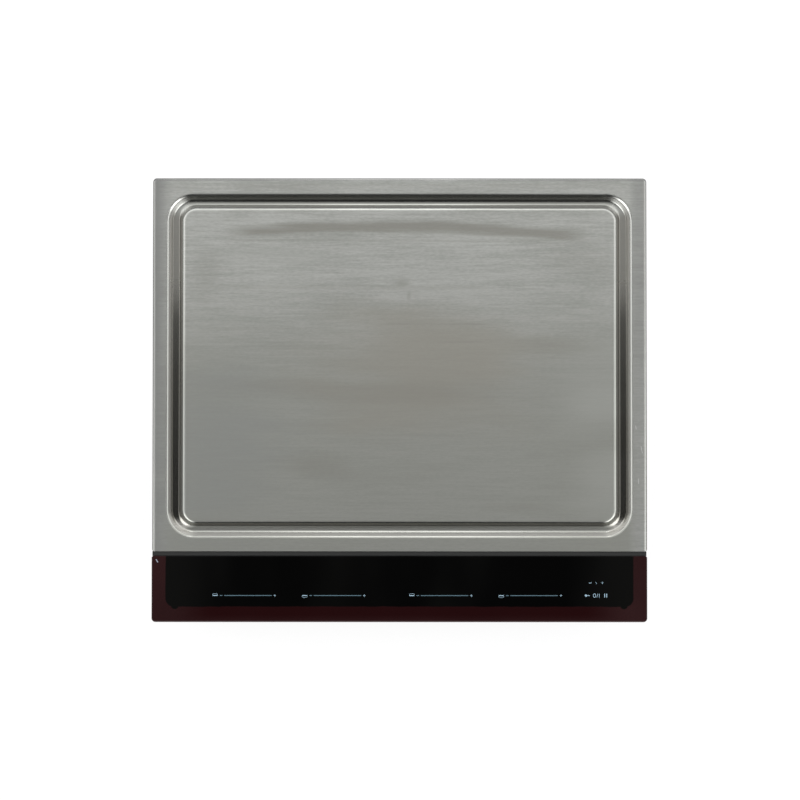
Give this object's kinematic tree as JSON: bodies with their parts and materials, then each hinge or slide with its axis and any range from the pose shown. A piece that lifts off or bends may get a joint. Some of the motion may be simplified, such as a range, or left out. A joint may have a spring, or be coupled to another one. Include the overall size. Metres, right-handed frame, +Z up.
{
  "type": "built-in induction griddle cooktop",
  "caption": "Built-in electric induction cooktop with a steel griddle plate, a grease groove round its edge and a dark glass touch panel along the front.",
  "frame": {"origin": "middle of the worktop seat, on the underside of the gasket, level with the worktop's upper face", "axes": "+X to the right along the width, +Y to the rear, +Z up; the touch panel is at the front, at -Y"},
  "size_m": [0.5806, 0.52, 0.073],
  "materials": {
    "griddle_steel": "fine brushed along the width, polished in the groove, light use marks",
    "trim_anodised": "dark grey anodised, satin",
    "panel_glass": "dark red-tinted glass ceramic, polished top, ground edge",
    "back_print": "opaque black back print",
    "silicone": "black silicone",
    "gasket_foam": "closed-cell foam tape",
    "frame_steel": "zinc-coated sheet",
    "tray_steel": "zinc-coated sheet with faint spangle",
    "clamp_steel": "bright zinc-plated strip",
    "zinc_screw": "zinc plated",
    "black_screw": "black oxide with a black pad",
    "fibre_mat": "pressed ceramic fibre",
    "mica": "layered mica, slight sheen",
    "carrier_plastic": "glass-filled plastic",
    "copper_litz": "stranded copper wire under lacquer",
    "ferrite": "sintered, matt",
    "sensor_ceramic": "unglazed",
    "spring_steel": "drawn wire",
    "aluminium": "mill finish",
    "lead_sleeve": "glass-fibre sleeve",
    "lead_black": "insulated wire",
    "circuit_board": "solder-mask green",
    "chip_resin": "moulded resin",
    "capacitor_red": "moulded box",
    "relay_blue": "moulded box",
    "fan_black": "moulded, satin",
    "guide_plastic": "moulded, matt",
    "touch_foam": "conductive foam",
    "ribbon_grey": "flat ribbon",
    "terminal_black": "moulded, fine texture",
    "terminal_beige": "moulded, satin"
  },
  "bodies": {
    "housing": {"griddle_plate": "griddle_steel", "plate_sealant": "silicone", "divider_trim": "trim_anodised", "control_glass": "panel_glass", "glass_sealant": "silicone", "glass_mask": "back_print", "carrier_frame": "frame_steel", "worktop_gasket": "gasket_foam", "insulation_mat": "fibre_mat", "mica_sheet": "mica", "coil_carrier_1": "carrier_plastic", "coil_carrier_2": "carrier_plastic", "coil_carrier_3": "carrier_plastic", "coil_carrier_4": "carrier_plastic", "coil_winding_1": "copper_litz", "coil_winding_2": "copper_litz", "coil_winding_3": "copper_litz", "coil_winding_4": "copper_litz", "ferrite_bars": "ferrite", "temperature_sensors": "sensor_ceramic", "coil_springs": "spring_steel", "coil_shelf": "aluminium", "coil_leads": "lead_sleeve", "bottom_tray": "tray_steel", "tray_screws": "zinc_screw", "power_board_left": "circuit_board", "power_board_right": "circuit_board", "heat_sink_left": "aluminium", "heat_sink_right": "aluminium", "power_transistors": "chip_resin", "bridge_rectifiers": "chip_resin", "film_capacitors": "capacitor_red", "board_relays": "relay_blue", "filter_board": "circuit_board", "filter_choke": "copper_litz", "supply_leads": "lead_black", "fan_frame_left": "fan_black", "fan_frame_right": "fan_black", "small_screws": "zinc_screw", "air_guide": "guide_plastic", "control_carrier": "guide_plastic", "touch_board": "circuit_board", "touch_pads": "touch_foam", "display_modules": "chip_resin", "ribbon_cable": "ribbon_grey", "terminal_box": "terminal_black", "terminal_block": "terminal_beige", "clamp_brackets": "clamp_steel", "clamp_rivets": "zinc_screw"},
    "left_fan": {"fan_rotor_left": "fan_black"},
    "right_fan": {"fan_rotor_right": "fan_black"},
    "terminal_door": {"terminal_lid": "terminal_black"},
    "clamp_swivel_1": {"clamp_arm_1": "clamp_steel"},
    "clamp_pressure_1": {"clamp_screw_1": "black_screw"},
    "clamp_swivel_2": {"clamp_arm_2": "clamp_steel"},
    "clamp_pressure_2": {"clamp_screw_2": "black_screw"},
    "clamp_swivel_3": {"clamp_arm_3": "clamp_steel"},
    "clamp_pressure_3": {"clamp_screw_3": "black_screw"},
    "clamp_swivel_4": {"clamp_arm_4": "clamp_steel"},
    "clamp_pressure_4": {"clamp_screw_4": "black_screw"}
  },
  "joints": [
    {"name": "left_fan_spin", "type": "hinge", "parent": "housing", "child": "left_fan", "pos_m": [-0.135, 0.136, -0.0542], "axis": [0, 0, 1], "continuous": true},
    {"name": "right_fan_spin", "type": "hinge", "parent": "housing", "child": "right_fan", "pos_m": [0.135, 0.136, -0.0542], "axis": [0, 0, 1], "continuous": true},
    {"name": "terminal_lid_swing", "type": "hinge", "parent": "housing", "child": "terminal_door", "pos_m": [0.2215, 0.2228, -0.062], "axis": [1, 0, 0], "range_deg": [0, 100]},
    {"name": "clamp_swing_1", "type": "hinge", "parent": "housing", "child": "clamp_swivel_1", "pos_m": [-0.268, 0.152, -0.0502], "axis": [0, 0, -1], "range_deg": [0, 90]},
    {"name": "clamp_tighten_1", "type": "slide", "parent": "clamp_swivel_1", "child": "clamp_pressure_1", "axis": [0, 0, 1], "range_m": [0, 0.008]},
    {"name": "clamp_swing_2", "type": "hinge", "parent": "housing", "child": "clamp_swivel_2", "pos_m": [0.268, 0.152, -0.0502], "axis": [0, 0, 1], "range_deg": [0, 90]},
    {"name": "clamp_tighten_2", "type": "slide", "parent": "clamp_swivel_2", "child": "clamp_pressure_2", "axis": [0, 0, 1], "range_m": [0, 0.008]},
    {"name": "clamp_swing_3", "type": "hinge", "parent": "housing", "child": "clamp_swivel_3", "pos_m": [-0.268, -0.148, -0.0502], "axis": [0, 0, 1], "range_deg": [0, 90]},
    {"name": "clamp_tighten_3", "type": "slide", "parent": "clamp_swivel_3", "child": "clamp_pressure_3", "axis": [0, 0, 1], "range_m": [0, 0.008]},
    {"name": "clamp_swing_4", "type": "hinge", "parent": "housing", "child": "clamp_swivel_4", "pos_m": [0.268, -0.148, -0.0502], "axis": [0, 0, -1], "range_deg": [0, 90]},
    {"name": "clamp_tighten_4", "type": "slide", "parent": "clamp_swivel_4", "child": "clamp_pressure_4", "axis": [0, 0, 1], "range_m": [0, 0.008]}
  ]
}
